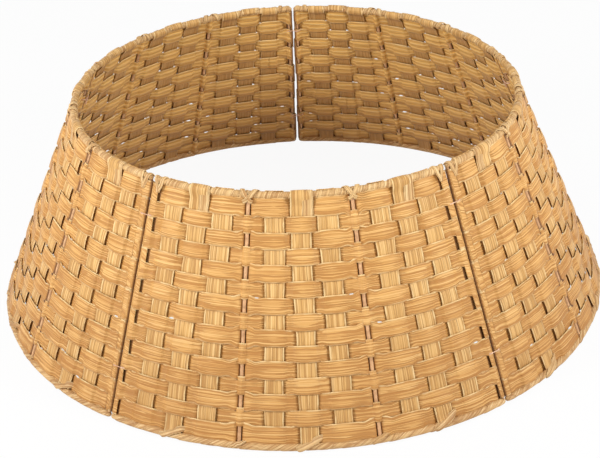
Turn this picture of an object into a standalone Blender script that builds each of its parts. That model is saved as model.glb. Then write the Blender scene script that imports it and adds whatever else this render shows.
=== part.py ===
"""Christmas tree collar: five woven wall panels, wired edge to edge into a tapered ring.

Each panel is a plain weave on a wire frame. Upright stakes run from rim to rim, and one flat
strand snakes down the panel row by row, before one upright and behind the next, and folds back
round the wires at the panel's two sides. Lengths are in metres, +Z is up, and the ring stands on
Z = 0 with its axis on Z. Every panel is drawn once, at the front of the ring, which faces -Y.
"""
import math

import bmesh
import bpy
from mathutils import Matrix, Vector

# The ring
BOTTOM_DIAMETER = 0.710
TOP_DIAMETER = 0.510
HEIGHT = 0.242
PANEL_ANGLE = math.radians(71.87)
SEAM_GAP = 0.0012
CLEARANCE = 0.00035

# The wire frame of a panel
WIRE_DIAMETER = 0.0032
RIB_DIAMETER = 0.0038
CORNER_BEND = 0.005
RIM_SEGMENTS = 9
WIRE_SIDES = 6

# The uprights: a wire at each side, and three bays of stakes with a wire rib between two bays
BAY_COUNT = 3
STAKES_PER_BAY = 3
STAKE_THICKNESS = 0.0008
STAKE_FOOT_WIDTH = 0.019
STAKE_HEAD_WIDTH = 0.0165
STAKE_SEAT = 0.0012

# The rim rolls, which the folded ends of a bay's stakes make round the rim wires
ROLL_DIAMETER = 0.009
ROLL_SIDES = 6
ROLL_BORE_SIDES = 4
ROLL_MARGIN = 0.0005

# The woven strand
ROW_COUNT = 15
STRAND_THICKNESS = 0.0008
STRAND_PLAY = 0.0008
TURN_SEGMENTS = 3
SPLICE_GAP = 0.0005
SPLICE_ROWS = (6, 11)

# The wire ties of the seams and the closure rings
TIE_WIRE_DIAMETER = 0.001
TIE_ARC_SEGMENTS = 4
TIE_WIRE_SIDES = 4
TIE_BELOW_ROWS = {"upper": 2, "lower": 12}

# Colours, roughness and metallic values
WIRE_FINISH = ((0.58, 0.36, 0.24, 1.0), 0.45, 0.6)
STAKE_FINISH = ((0.66, 0.40, 0.15, 1.0), 0.6, 0.0)
STRAND_FINISH = ((0.74, 0.47, 0.19, 1.0), 0.55, 0.0)
TIE_FINISH = ((0.70, 0.50, 0.38, 1.0), 0.4, 0.7)

# Sizes that follow from those above
MEMBER_LAST = BAY_COUNT * (STAKES_PER_BAY + 1)
ROLL_RADIUS = ROLL_DIAMETER / 2
ROLL_FLAT_HEIGHT = ROLL_RADIUS * math.cos(math.pi / ROLL_SIDES)
BOTTOM_WIRE_RADIUS = BOTTOM_DIAMETER / 2 - ROLL_RADIUS
TOP_WIRE_RADIUS = TOP_DIAMETER / 2 - ROLL_RADIUS
BOTTOM_WIRE_Z = ROLL_FLAT_HEIGHT
TOP_WIRE_Z = HEIGHT - ROLL_FLAT_HEIGHT
WALL_LENGTH = math.hypot(BOTTOM_WIRE_RADIUS - TOP_WIRE_RADIUS, TOP_WIRE_Z - BOTTOM_WIRE_Z)
WEAVE_AMPLITUDE = WIRE_DIAMETER / 2 + STRAND_PLAY + STRAND_THICKNESS / 2
WEAVE_BOW = STAKE_FOOT_WIDTH / 2 * math.sin(PANEL_ANGLE / MEMBER_LAST / 2)
WRAP_RADIUS = WEAVE_AMPLITUDE + STRAND_THICKNESS / 2
EDGE_INSET = WRAP_RADIUS + SEAM_GAP / 2
ROW_GAP = TIE_WIRE_DIAMETER + 2 * CLEARANCE
ROW_PITCH = (WALL_LENGTH - 2 * (ROLL_RADIUS + ROLL_MARGIN)) / ROW_COUNT
STRAND_WIDTH = ROW_PITCH - ROW_GAP

# Names, the panels from the open seam round to it again
RING_ORDER = ("rear_left", "left", "front", "right", "rear_right")
BAY_NAMES = ("left", "middle", "right")
SPLICE_NAMES = ("upper", "middle", "lower")


def clear_scene():
    for obj in list(bpy.data.objects):
        bpy.data.objects.remove(obj, do_unlink=True)


def make_material(name, finish):
    colour, roughness, metallic = finish
    material = bpy.data.materials.new(name)
    material.use_nodes = True
    shader = material.node_tree.nodes["Principled BSDF"]
    shader.inputs["Base Color"].default_value = colour
    shader.inputs["Roughness"].default_value = roughness
    shader.inputs["Metallic"].default_value = metallic
    return material


def rim_point(radius, angle, height):
    """A point of the front panel, its angle counted from the panel's middle to the right."""
    return Vector((radius * math.sin(angle), -radius * math.cos(angle), height))


def edge_angle(radius):
    """Angle from the panel's middle to its side wire, which stands clear of the seam."""
    return PANEL_ANGLE / 2 - math.asin(EDGE_INSET / radius)


def member_share(member):
    """Place of an upright across the panel, from -1 at the left side wire to 1 at the right."""
    return 2 * member / MEMBER_LAST - 1


def member_foot(share):
    return rim_point(BOTTOM_WIRE_RADIUS, share * edge_angle(BOTTOM_WIRE_RADIUS), BOTTOM_WIRE_Z)


def member_head(share):
    return rim_point(TOP_WIRE_RADIUS, share * edge_angle(TOP_WIRE_RADIUS), TOP_WIRE_Z)


def on_member(share, distance):
    """Point on an upright's centre line, a distance up from the bottom rim wire."""
    return member_foot(share).lerp(member_head(share), distance / WALL_LENGTH)


def member_axes(share):
    """Directions at an upright: across to the right, up along it, and out of the wall."""
    angle = share * PANEL_ANGLE / 2
    across = Vector((math.cos(angle), math.sin(angle), 0))
    along = (member_head(share) - member_foot(share)).normalized()
    return across, along, across.cross(along).normalized()


def add_ring(bm, points):
    verts = [bm.verts.new(point) for point in points]
    return [bm.edges.new(pair) for pair in zip(verts, verts[1:] + verts[:1])]


def add_tube(bm, rings):
    """Skin over a row of rings, open at both ends. Returns the edges of its two end rings."""
    edges = [add_ring(bm, points) for points in rings]
    for start, end in zip(edges, edges[1:]):
        bmesh.ops.bridge_loops(bm, edges=start + end)
    return edges[0], edges[-1]


def add_bar(bm, rings):
    """Solid bar over a row of rings."""
    for end in add_tube(bm, rings):
        bmesh.ops.edgeloop_fill(bm, edges=end)


def polygon(sides, radius, phase=0):
    """Corners of a regular polygon."""
    turns = [phase + 2 * math.pi * side / sides for side in range(sides)]
    return [(radius * math.cos(turn), radius * math.sin(turn)) for turn in turns]


def finish_mesh(bm, name):
    bmesh.ops.recalc_face_normals(bm, faces=bm.faces)
    mesh = bpy.data.meshes.new(name)
    bm.to_mesh(mesh)
    bm.free()
    return mesh


def bake(obj):
    """Mesh of an object with its modifiers or its curve bevel worked in."""
    bpy.context.view_layer.update()
    evaluated = obj.evaluated_get(bpy.context.evaluated_depsgraph_get())
    return bpy.data.meshes.new_from_object(evaluated)


def helper_object(name, data):
    obj = bpy.data.objects.new(name, data)
    bpy.context.scene.collection.objects.link(obj)
    return obj


def fuse(name, base_mesh, added_mesh):
    """One mesh from two that overlap."""
    base = helper_object(name, base_mesh)
    added = helper_object(name + "_added", added_mesh)
    union = base.modifiers.new("union", "BOOLEAN")
    union.operation = "UNION"
    union.solver = "EXACT"
    union.object = added
    mesh = bake(base)
    bpy.data.objects.remove(added)
    bpy.data.objects.remove(base)
    mesh.name = name
    return mesh


def wire_loop_mesh(name, points, diameter, resolution):
    """Closed loop of wire through the points."""
    curve = bpy.data.curves.new(name, "CURVE")
    curve.dimensions = "3D"
    curve.bevel_depth = diameter / 2
    curve.bevel_resolution = resolution
    spline = curve.splines.new("POLY")
    spline.points.add(len(points) - 1)
    for spline_point, point in zip(spline.points, points):
        spline_point.co = (*point, 1)
    spline.use_cyclic_u = True
    obj = helper_object(name, curve)
    mesh = bake(obj)
    bpy.data.objects.remove(obj)
    mesh.name = name
    return mesh


def rim_shares():
    """Corners of the faceted rim wires and rolls, as shares of the side wire's angle."""
    return [2 * corner / RIM_SEGMENTS - 1 for corner in range(RIM_SEGMENTS + 1)]


def moved_toward(start, end, distance):
    return start + (end - start).normalized() * distance


def frame_mesh():
    """Rim wires and side wires bent from one loop, with the ribs welded in."""
    bottom = [member_foot(share) for share in rim_shares()]
    top = [member_head(share) for share in reversed(rim_shares())]
    corners = ((bottom, top), (top, bottom))
    points = []
    for arc, next_arc in corners:
        points.append(moved_toward(arc[0], next_arc[-1], CORNER_BEND))
        points.append(moved_toward(arc[0], arc[1], CORNER_BEND))
        points.extend(arc[1:-1])
        points.append(moved_toward(arc[-1], arc[-2], CORNER_BEND))
        points.append(moved_toward(arc[-1], next_arc[0], CORNER_BEND))
    loop = wire_loop_mesh("wire_loop", points, WIRE_DIAMETER, WIRE_SIDES // 2 - 2)

    bm = bmesh.new()
    for bay in range(1, BAY_COUNT):
        share = member_share(bay * (STAKES_PER_BAY + 1))
        across, _, out = member_axes(share)
        section = polygon(WIRE_SIDES, RIB_DIAMETER / 2)
        ends = (member_foot(share), member_head(share))
        add_bar(bm, [[end + across * u + out * v for u, v in section] for end in ends])
    return fuse("panel_frame", loop, finish_mesh(bm, "ribs"))


def roll_rings(wire_radius, height, stations, sides, radius, phase=0):
    """Sections of a roll in upright planes through the ring's axis."""
    section = polygon(sides, radius, phase)
    return [[rim_point(wire_radius + u, angle, height + v) for u, v in section] for angle in stations]


def add_roll(bm, bay, wire_radius, height):
    """Roll round a rim wire, from just past one upright wire to just before the next."""
    side_angle = edge_angle(wire_radius)
    per_bay = RIM_SEGMENTS // BAY_COUNT
    stations = [share * side_angle for share in rim_shares()[bay * per_bay:(bay + 1) * per_bay + 1]]
    rib_inset = (RIB_DIAMETER / 2 + CLEARANCE) / wire_radius
    edge_inset = (CORNER_BEND + WIRE_DIAMETER / 2) / wire_radius
    stations[0] += edge_inset if bay == 0 else rib_inset
    stations[-1] -= edge_inset if bay == BAY_COUNT - 1 else rib_inset
    bore_phase = math.pi / ROLL_BORE_SIDES
    bore_radius = (WIRE_DIAMETER / 2 + CLEARANCE) / math.cos(bore_phase)
    outer = add_tube(bm, roll_rings(wire_radius, height, stations, ROLL_SIDES, ROLL_RADIUS))
    bore = add_tube(bm, roll_rings(wire_radius, height, stations, ROLL_BORE_SIDES, bore_radius, bore_phase))
    for outer_end, bore_end in zip(outer, bore):
        bmesh.ops.triangle_fill(bm, edges=outer_end + bore_end, use_beauty=True)


def add_stake(bm, member):
    """Flat tapered stake from roll to roll."""
    share = member_share(member)
    across, _, out = member_axes(share)
    end_gap = ROLL_FLAT_HEIGHT - STAKE_SEAT
    rings = []
    for distance, width in ((end_gap, STAKE_FOOT_WIDTH), (WALL_LENGTH - end_gap, STAKE_HEAD_WIDTH)):
        centre = on_member(share, distance)
        side = across * width / 2
        face = out * STAKE_THICKNESS / 2
        rings.append([centre - side - face, centre + side - face, centre + side + face, centre - side + face])
    add_bar(bm, rings)


def stakes_mesh(bay):
    """A bay's stakes and the rim rolls that their folded ends make."""
    rolls = bmesh.new()
    add_roll(rolls, bay, BOTTOM_WIRE_RADIUS, BOTTOM_WIRE_Z)
    add_roll(rolls, bay, TOP_WIRE_RADIUS, TOP_WIRE_Z)
    stakes = bmesh.new()
    for stake in range(1, STAKES_PER_BAY + 1):
        add_stake(stakes, bay * (STAKES_PER_BAY + 1) + stake)
    return fuse("panel_stakes_" + BAY_NAMES[bay], finish_mesh(rolls, "rolls"), finish_mesh(stakes, "stakes"))


def row_distance(row):
    """Height of a row's middle along the wall, rows counted from 1 at the top."""
    return WALL_LENGTH - ROLL_RADIUS - ROLL_MARGIN - (row - 1 / 2) * ROW_PITCH


def side_of_wall(row, member):
    """1 where the strand passes outside an upright, -1 where it passes inside."""
    return 1 if (row + member) % 2 == 0 else -1


def crossing(row, member):
    """Centre of the strand where it crosses an upright, with its width's direction.

    The strand runs straight between uprights and so cuts the corner of the round wall. On the
    stakes it bows out by as much, to clear their edges.
    """
    share = member_share(member)
    _, along, out = member_axes(share)
    bow = WEAVE_BOW if member % (STAKES_PER_BAY + 1) else 0
    centre = on_member(share, row_distance(row))
    return centre + out * (side_of_wall(row, member) * WEAVE_AMPLITUDE + bow), along


def turn(row, member):
    """Fold round a side wire, down from this row to the next."""
    share = member_share(member)
    across, along, out = member_axes(share)
    start_side = side_of_wall(row, member)
    stations = []
    for step in range(1, TURN_SEGMENTS):
        part = step / TURN_SEGMENTS
        swing = math.pi * part
        centre = on_member(share, row_distance(row + part))
        offset = out * start_side * math.cos(swing) + across * share * math.sin(swing)
        stations.append((centre + offset * WEAVE_AMPLITUDE, along))
    return stations


def row_members(row):
    """Uprights in the order in which the strand meets them: odd rows run to the left."""
    members = list(range(MEMBER_LAST + 1))
    return members[::-1] if row % 2 else members


def strand_stations():
    """The whole strand as (row, member, centre, direction of its width)."""
    stations = []
    for row in range(1, ROW_COUNT + 1):
        members = row_members(row)
        stations += [(row, member, *crossing(row, member)) for member in members]
        if row < ROW_COUNT:
            stations += [(row, None, *station) for station in turn(row, members[-1])]
    return stations


def strand_pieces():
    """The strand cut where one length ends and the next begins, inside a stake."""
    stations = strand_stations()
    cuts = []
    for row in SPLICE_ROWS:
        hidden = [member for member in row_members(row)[1:] if side_of_wall(row, member) < 0]
        cuts.append(next(i for i, station in enumerate(stations) if station[:2] == (row, hidden[0])))
    starts = [0] + cuts
    ends = cuts + [len(stations) - 1]
    pieces = []
    for start, end in zip(starts, ends):
        piece = [station[2:] for station in stations[start:end + 1]]
        if start:
            piece[0] = (moved_toward(piece[0][0], piece[1][0], SPLICE_GAP / 2), piece[0][1])
        if end < len(stations) - 1:
            piece[-1] = (moved_toward(piece[-1][0], piece[-2][0], SPLICE_GAP / 2), piece[-1][1])
        pieces.append(piece)
    return pieces


def strand_mesh(name, piece):
    """Flat strand along its stations: its lower edge drawn, raised to a band and thickened."""
    bm = bmesh.new()
    order = bm.verts.layers.int.new("order")
    verts = []
    for index, (centre, along) in enumerate(piece):
        vert = bm.verts.new(centre - along * STRAND_WIDTH / 2)
        vert[order] = index
        verts.append(vert)
    edges = [bm.edges.new(pair) for pair in zip(verts, verts[1:])]
    raised = bmesh.ops.extrude_edge_only(bm, edges=edges)["geom"]
    for vert in raised:
        if isinstance(vert, bmesh.types.BMVert):
            vert.co += piece[vert[order]][1] * STRAND_WIDTH
    obj = helper_object(name, finish_mesh(bm, name + "_band"))
    thicken = obj.modifiers.new("thicken", "SOLIDIFY")
    thicken.thickness = STRAND_THICKNESS
    thicken.offset = 0
    thicken.use_even_offset = True
    mesh = bake(obj)
    bpy.data.objects.remove(obj)
    mesh.name = name
    return mesh


def tie_radius():
    """Radius of a tie's bend, so that its flats clear the corners of the strand's folds."""
    wrap_corner = WEAVE_AMPLITUDE + STRAND_THICKNESS / 2 / math.cos(math.pi / 2 / TURN_SEGMENTS)
    flat = wrap_corner + CLEARANCE + TIE_WIRE_DIAMETER / 2
    return flat / math.cos(math.pi / 2 / TIE_ARC_SEGMENTS)


def bend_points(centre, toward, other):
    """Half circle of a tie, round a side wire and open on the side away from toward."""
    points = []
    for step in range(TIE_ARC_SEGMENTS + 1):
        swing = math.pi * step / TIE_ARC_SEGMENTS
        points.append(centre + (other * math.cos(swing) + toward * math.sin(swing)) * tie_radius())
    return points


def tie_height(below_row):
    """Height along the wall of the gap under a row."""
    return row_distance(below_row + 1 / 2)


def seam_tie_mesh(name, below_row):
    """Closed tie round both side wires of the seam at the front panel's right."""
    across, _, out = member_axes(1)
    centre = on_member(1, tie_height(below_row))
    points = bend_points(centre, -across, out)
    points += bend_points(centre + across * 2 * EDGE_INSET, across, -out)
    return wire_loop_mesh(name, points, TIE_WIRE_DIAMETER, TIE_WIRE_SIDES // 2 - 2)


def closure_ring_mesh(name, below_row):
    """Ring round the right side wire only, for the seam that opens."""
    across, _, out = member_axes(1)
    centre = on_member(1, tie_height(below_row))
    points = bend_points(centre, -across, out)[:-1] + bend_points(centre, across, -out)[:-1]
    return wire_loop_mesh(name, points, TIE_WIRE_DIAMETER, TIE_WIRE_SIDES // 2 - 2)


def ring_step(panel):
    """Places from the front panel, to the right, or to the left where it is negative."""
    return RING_ORDER.index(panel) - RING_ORDER.index("front")


def panel_placement(panel):
    return Matrix.Rotation(ring_step(panel) * PANEL_ANGLE, 4, "Z")


def hinge_placement(panel):
    """On the panel's own side wire next to the panel that carries it, Z along the wire."""
    step = ring_step(panel)
    if step == 0:
        return Matrix.Identity(4)
    share = -1 if step > 0 else 1
    across, along, _ = member_axes(share)
    axes = Matrix((across, along.cross(across), along)).transposed().to_4x4()
    return panel_placement(panel) @ Matrix.Translation(member_foot(share)) @ axes


def carrier(panel):
    """The next panel toward the front, or None for the front panel."""
    step = ring_step(panel)
    if step == 0:
        return None
    return RING_ORDER[RING_ORDER.index(panel) - (1 if step > 0 else -1)]


def panels_from_front():
    return sorted(RING_ORDER, key=lambda panel: abs(ring_step(panel)))


def make_hinge_empties(collection):
    empties = {}
    for panel in panels_from_front():
        empty = bpy.data.objects.new(panel + "_hinge", None)
        empty.empty_display_size = HEIGHT / 2
        collection.objects.link(empty)
        parent = carrier(panel)
        if parent:
            empty.parent = empties[parent]
            empty.matrix_basis = hinge_placement(parent).inverted() @ hinge_placement(panel)
        empties[panel] = empty
    return empties


def place(collection, name, mesh, material, panel, empties, turned=None):
    """Put a mesh that was drawn at the front into the ring, on the body of the panel."""
    obj = bpy.data.objects.new(name, mesh)
    if not mesh.materials:
        mesh.materials.append(material)
    collection.objects.link(obj)
    obj.parent = empties[panel]
    obj.matrix_basis = hinge_placement(panel).inverted() @ (turned or panel_placement(panel))
    return obj


def build_panels(collection, empties, wire, stake, strand):
    frame = frame_mesh()
    bays = [stakes_mesh(bay) for bay in range(BAY_COUNT)]
    strands = [strand_mesh("panel_strand_" + name, piece) for name, piece in zip(SPLICE_NAMES, strand_pieces())]
    for panel in RING_ORDER:
        place(collection, panel + "_panel_frame", frame, wire, panel, empties)
        for name, mesh in zip(BAY_NAMES, bays):
            place(collection, panel + "_panel_stakes_" + name, mesh, stake, panel, empties)
        for name, mesh in zip(SPLICE_NAMES, strands):
            place(collection, panel + "_panel_strand_" + name, mesh, strand, panel, empties)


def build_ties(collection, empties, wire):
    """Two ties at each hinged seam, on the panel nearer the front, and two closure rings."""
    for height, below_row in TIE_BELOW_ROWS.items():
        tie = seam_tie_mesh("seam_tie_" + height, below_row)
        for moving in panels_from_front()[1:]:
            leftmost = min(moving, carrier(moving), key=ring_step)
            turned = panel_placement(leftmost)
            place(collection, moving + "_seam_tie_" + height, tie, wire, carrier(moving), empties, turned)
        ring = closure_ring_mesh("closure_ring_" + height, below_row)
        place(collection, "rear_closure_ring_" + height, ring, wire, "rear_right", empties)


def build_collar():
    clear_scene()
    collection = bpy.data.collections.new("christmas_tree_collar")
    bpy.context.scene.collection.children.link(collection)
    wire = make_material("frame_wire", WIRE_FINISH)
    stake = make_material("stake_straw", STAKE_FINISH)
    strand = make_material("strand_straw", STRAND_FINISH)
    tie = make_material("tie_wire", TIE_FINISH)
    empties = make_hinge_empties(collection)
    build_panels(collection, empties, wire, stake, strand)
    build_ties(collection, empties, tie)


build_collar()
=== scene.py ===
"""Christmas tree collar: five woven straw panels on wire frames, tied edge to edge into a tapered ring."""

import math
import random

import bpy
import numpy as np
from mathutils import Matrix, Vector


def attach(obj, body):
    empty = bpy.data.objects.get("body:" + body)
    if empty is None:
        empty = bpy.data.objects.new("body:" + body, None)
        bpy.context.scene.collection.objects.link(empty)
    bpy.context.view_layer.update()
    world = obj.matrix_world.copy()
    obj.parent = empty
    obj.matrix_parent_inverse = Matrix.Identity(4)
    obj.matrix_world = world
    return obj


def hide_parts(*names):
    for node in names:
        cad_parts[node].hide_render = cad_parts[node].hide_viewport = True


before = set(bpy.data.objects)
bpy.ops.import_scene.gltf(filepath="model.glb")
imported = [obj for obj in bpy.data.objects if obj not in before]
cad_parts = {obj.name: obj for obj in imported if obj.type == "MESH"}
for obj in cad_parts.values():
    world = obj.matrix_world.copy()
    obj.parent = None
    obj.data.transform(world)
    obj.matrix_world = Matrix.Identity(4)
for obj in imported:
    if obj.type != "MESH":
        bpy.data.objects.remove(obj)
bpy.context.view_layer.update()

# The wire frames. Each panel has a bottom and a top rim wire and two side wires, bent from one
# length of copper-coated steel wire, and two slightly thicker ribs welded between the rims.
BOTTOM_DIAMETER = 0.710
TOP_DIAMETER = 0.510
HEIGHT = 0.242
PANEL_ANGLE = math.radians(71.87)
ROLL_RADIUS = 0.0045
EDGE_INSET = 0.0038
WIRE_RADIUS = 0.0016
RIB_RADIUS = 0.0019
WIRE_SIDES = 14
ARC_STEPS = 24
WELD_DISTANCE = 0.00001
SMOOTH_ANGLE = math.radians(50)
MEMBER_LAST = 12
RIB_MEMBERS = (4, 8)
ROLL_FLAT_HEIGHT = ROLL_RADIUS * math.cos(math.pi / 6)
BOTTOM_WIRE_RADIUS = BOTTOM_DIAMETER / 2 - ROLL_RADIUS
TOP_WIRE_RADIUS = TOP_DIAMETER / 2 - ROLL_RADIUS
BOTTOM_WIRE_Z = ROLL_FLAT_HEIGHT
TOP_WIRE_Z = HEIGHT - ROLL_FLAT_HEIGHT
WALL_LENGTH = math.hypot(BOTTOM_WIRE_RADIUS - TOP_WIRE_RADIUS, TOP_WIRE_Z - BOTTOM_WIRE_Z)
PANEL_TURNS = {"front": 0, "left": -1, "right": 1, "rear_left": -2, "rear_right": 2}


def edge_angle(radius):
    return PANEL_ANGLE / 2 - math.asin(EDGE_INSET / radius)


def upright_radius(member):
    return RIB_RADIUS if member in RIB_MEMBERS else WIRE_RADIUS


def wall_frame(member, height):
    """Points and directions on the front panel's wall: member counts uprights from the left
    side wire, height runs up the wall from the bottom rim wire. Works on arrays."""
    member = np.asarray(member, float)
    share = member * 2 / MEMBER_LAST - 1
    climb = np.asarray(height, float) / WALL_LENGTH
    ends = []
    for radius, z in ((BOTTOM_WIRE_RADIUS, BOTTOM_WIRE_Z), (TOP_WIRE_RADIUS, TOP_WIRE_Z)):
        angle = share * edge_angle(radius)
        ends.append(np.stack([radius * np.sin(angle), -radius * np.cos(angle), np.full_like(angle, z)], -1))
    foot, head = ends
    point = foot + (head - foot) * climb[..., None]
    along = (head - foot) / np.linalg.norm(head - foot, axis=-1, keepdims=True)
    turn = share * PANEL_ANGLE / 2
    across = np.stack([np.cos(turn), np.sin(turn), np.zeros_like(turn)], -1)
    out = np.cross(across, along)
    out /= np.linalg.norm(out, axis=-1, keepdims=True)
    return point, across, along, out


def member_pitch(height):
    """Distance between two uprights at a height up the wall."""
    climb = height / WALL_LENGTH
    foot = BOTTOM_WIRE_RADIUS * edge_angle(BOTTOM_WIRE_RADIUS)
    head = TOP_WIRE_RADIUS * edge_angle(TOP_WIRE_RADIUS)
    return (foot + (head - foot) * climb) * 2 / MEMBER_LAST


def only(obj):
    """Select one object and make it active."""
    bpy.ops.object.select_all(action="DESELECT")
    obj.select_set(True)
    bpy.context.view_layer.objects.active = obj
    return obj


def join(pieces, name):
    only(pieces[0])
    for piece in pieces:
        piece.select_set(True)
    if len(pieces) > 1:
        bpy.ops.object.join()
    bpy.context.object.name = name
    return bpy.context.object


def set_place(obj):
    only(obj)
    bpy.ops.object.transform_apply(location=True, rotation=True, scale=True)
    return obj


def set_in_ring(piece, turn, material):
    """Give a piece its material, and turn it about the ring's axis from the front by a number of panels."""
    piece.data.materials.append(material)
    piece.data.transform(Matrix.Rotation(turn * PANEL_ANGLE, 4, "Z"))
    return piece


def rod(start, end, radius):
    """Round rod between two points."""
    start, end = Vector(start), Vector(end)
    turned = (end - start).to_track_quat("Z", "Y").to_euler()
    bpy.ops.object.select_all(action="DESELECT")
    bpy.ops.mesh.primitive_cylinder_add(vertices=WIRE_SIDES, radius=radius, depth=(end - start).length,
                                        location=(start + end) / 2, rotation=turned)
    return set_place(bpy.context.object)


def rim_wire(radius, z):
    """Rim wire, spun about the ring's axis from its section, then turned to the panel's middle."""
    bpy.ops.object.select_all(action="DESELECT")
    bpy.ops.mesh.primitive_circle_add(vertices=WIRE_SIDES, radius=WIRE_RADIUS, fill_type="NGON",
                                      location=(0, -radius, z), rotation=(math.pi / 2, 0, math.pi / 2))
    wire = set_place(bpy.context.object)
    bpy.ops.object.mode_set(mode="EDIT")
    bpy.ops.mesh.select_all(action="SELECT")
    bpy.ops.mesh.spin(steps=ARC_STEPS, dupli=False, angle=edge_angle(radius) * 2, center=(0, 0, 0), axis=(0, 0, 1))
    bpy.ops.mesh.select_all(action="SELECT")
    bpy.ops.mesh.remove_doubles(threshold=WELD_DISTANCE)
    bpy.ops.mesh.normals_make_consistent(inside=False)
    bpy.ops.object.mode_set(mode="OBJECT")
    spots = np.array([v.co for v in wire.data.vertices])
    middle = math.atan2(spots[:, 0].mean(), -spots[:, 1].mean())
    wire.data.transform(Matrix.Rotation(-middle, 4, "Z"))
    return wire


def new_material(name, roughness, metallic=0.0, specular=0.5):
    material = bpy.data.materials.new(name)
    material.use_nodes = True
    shader = material.node_tree.nodes["Principled BSDF"]
    shader.inputs["Roughness"].default_value = roughness
    shader.inputs["Metallic"].default_value = metallic
    shader.inputs["Specular IOR Level"].default_value = specular
    return material, material.node_tree, shader


def add_node(tree, kind, inputs=None, **settings):
    """New shader node. Each of its inputs is given an output socket or a constant."""
    node = tree.nodes.new("ShaderNode" + kind)
    for key, value in settings.items():
        setattr(node, key, value)
    for key, value in (inputs or {}).items():
        if isinstance(value, bpy.types.NodeSocket):
            tree.links.new(value, node.inputs[key])
        else:
            node.inputs[key].default_value = value
    return node


def map_range(tree, value, low, high, out_low=0.0, out_high=1.0, kind="SMOOTHSTEP"):
    inputs = {"Value": value, "From Min": low, "From Max": high, "To Min": out_low, "To Max": out_high}
    return add_node(tree, "MapRange", inputs, interpolation_type=kind).outputs["Result"]


def blend_colours(tree, factor, first, second, kind="MIX"):
    inputs = {"Factor": factor, "A": first, "B": second}
    return add_node(tree, "Mix", inputs, data_type="RGBA", blend_type=kind).outputs["Result"]


def combine(tree, operation, *values, clamp=False):
    return add_node(tree, "Math", dict(enumerate(values)), operation=operation, use_clamp=clamp).outputs["Value"]


def finish_group(name, **inputs):
    """Node group of a finish, with the kinds of its inputs. It puts out a colour, a relief and a roughness."""
    group = bpy.data.node_groups.new(name, "ShaderNodeTree")
    outputs = {"Colour": "Color", "Height": "Float", "Roughness": "Float"}
    for way, sockets in (("INPUT", inputs), ("OUTPUT", outputs)):
        for socket, kind in sockets.items():
            group.interface.new_socket(name=socket, in_out=way, socket_type="NodeSocket" + kind)
    return group, group.nodes.new("NodeGroupInput").outputs, group.nodes.new("NodeGroupOutput").inputs


def use_finish(tree, shader, group, inputs, relief, strength):
    """Feed a shader's colour, roughness and normal from a finish group."""
    finish = add_node(tree, "Group", inputs, node_tree=group).outputs
    bump = add_node(tree, "Bump", {"Height": finish["Height"], "Distance": relief, "Strength": strength})
    tree.links.new(finish["Colour"], shader.inputs["Base Color"])
    tree.links.new(finish["Roughness"], shader.inputs["Roughness"])
    tree.links.new(bump.outputs["Normal"], shader.inputs["Normal"])


DRAWING_SCALE = 220
DRAWING_DETAIL = 4
DULL_TO_BRIGHT = (0.35, 0.65)
WIRE_GLOSS = (0.58, 0.36)
WIRE_RELIEF = 0.0001
WIRE_RELIEF_STRENGTH = 0.5


def drawn_wire_group():
    """Drawing marks and stains on coated wire."""
    group, given, result = finish_group("drawn_wire", Place="Vector", Dull="Color", Bright="Color")
    noise = {"Vector": given["Place"], "Scale": DRAWING_SCALE, "Detail": DRAWING_DETAIL}
    drawn = add_node(group, "TexNoise", noise).outputs["Fac"]
    share = map_range(group, drawn, *DULL_TO_BRIGHT, kind="LINEAR")
    group.links.new(blend_colours(group, share, given["Dull"], given["Bright"]), result["Colour"])
    group.links.new(drawn, result["Height"])
    group.links.new(map_range(group, drawn, 0.0, 1.0, *WIRE_GLOSS, kind="LINEAR"), result["Roughness"])
    return group


DRAWN_WIRE = drawn_wire_group()


def wire_finish(name, metallic, dull, bright):
    material, tree, shader = new_material(name, 0.42, metallic)
    place = add_node(tree, "TexCoord").outputs["Object"]
    use_finish(tree, shader, DRAWN_WIRE, {"Place": place, "Dull": dull, "Bright": bright},
               WIRE_RELIEF, WIRE_RELIEF_STRENGTH)
    return material


wire_material = wire_finish("copper_coated_wire", 0.25, (0.49, 0.26, 0.12, 1), (0.72, 0.42, 0.21, 1))
wires = [rim_wire(BOTTOM_WIRE_RADIUS, BOTTOM_WIRE_Z), rim_wire(TOP_WIRE_RADIUS, TOP_WIRE_Z)]
for member in (0, *RIB_MEMBERS, MEMBER_LAST):
    (foot, head), _, _, _ = wall_frame([member, member], [0, WALL_LENGTH])
    wires.append(rod(foot, head, upright_radius(member)))
panel_wires = join(wires, "panel_wires")
bpy.ops.object.shade_smooth_by_angle(angle=SMOOTH_ANGLE)
for panel, turn in PANEL_TURNS.items():
    piece = panel_wires.copy()
    piece.data = panel_wires.data.copy()
    piece.name = piece.data.name = panel + "_wire_frame"
    bpy.context.scene.collection.objects.link(piece)
    set_in_ring(piece, turn, wire_material)
    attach(piece, panel + "_panel")
    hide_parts(panel + "_panel_frame")
bpy.data.objects.remove(panel_wires)

# The straw. Stakes, strand and lashings are the same flat dried leaf, folded lengthwise into a
# band: long fibres, folded edges that are paler partly in their own colour and partly as a painted
# highlight, and a tone that changes from band to band.
# Paler colour of the folded edges, partly their own colour and partly a painted highlight where they catch the light;
# also the painted highlight on the inner pleat ridges.
HEM_STRAW = (0.94, 0.685, 0.335, 1)
PALE_STRAW = (0.86, 0.55, 0.215, 1)
MID_STRAW = (0.745, 0.40, 0.119, 1)
DARK_STRAW = (0.48, 0.21, 0.048, 1)
# Colour of the deepest painted shade, in the seams' crevices and the darkest slots.
DEEP_STRAW = (0.12, 0.042, 0.014, 1)
# Warmer, brighter colour of the inner faces: painted bounce light.
INNER_STRAW = (1.0, 0.60, 0.165, 1)
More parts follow.
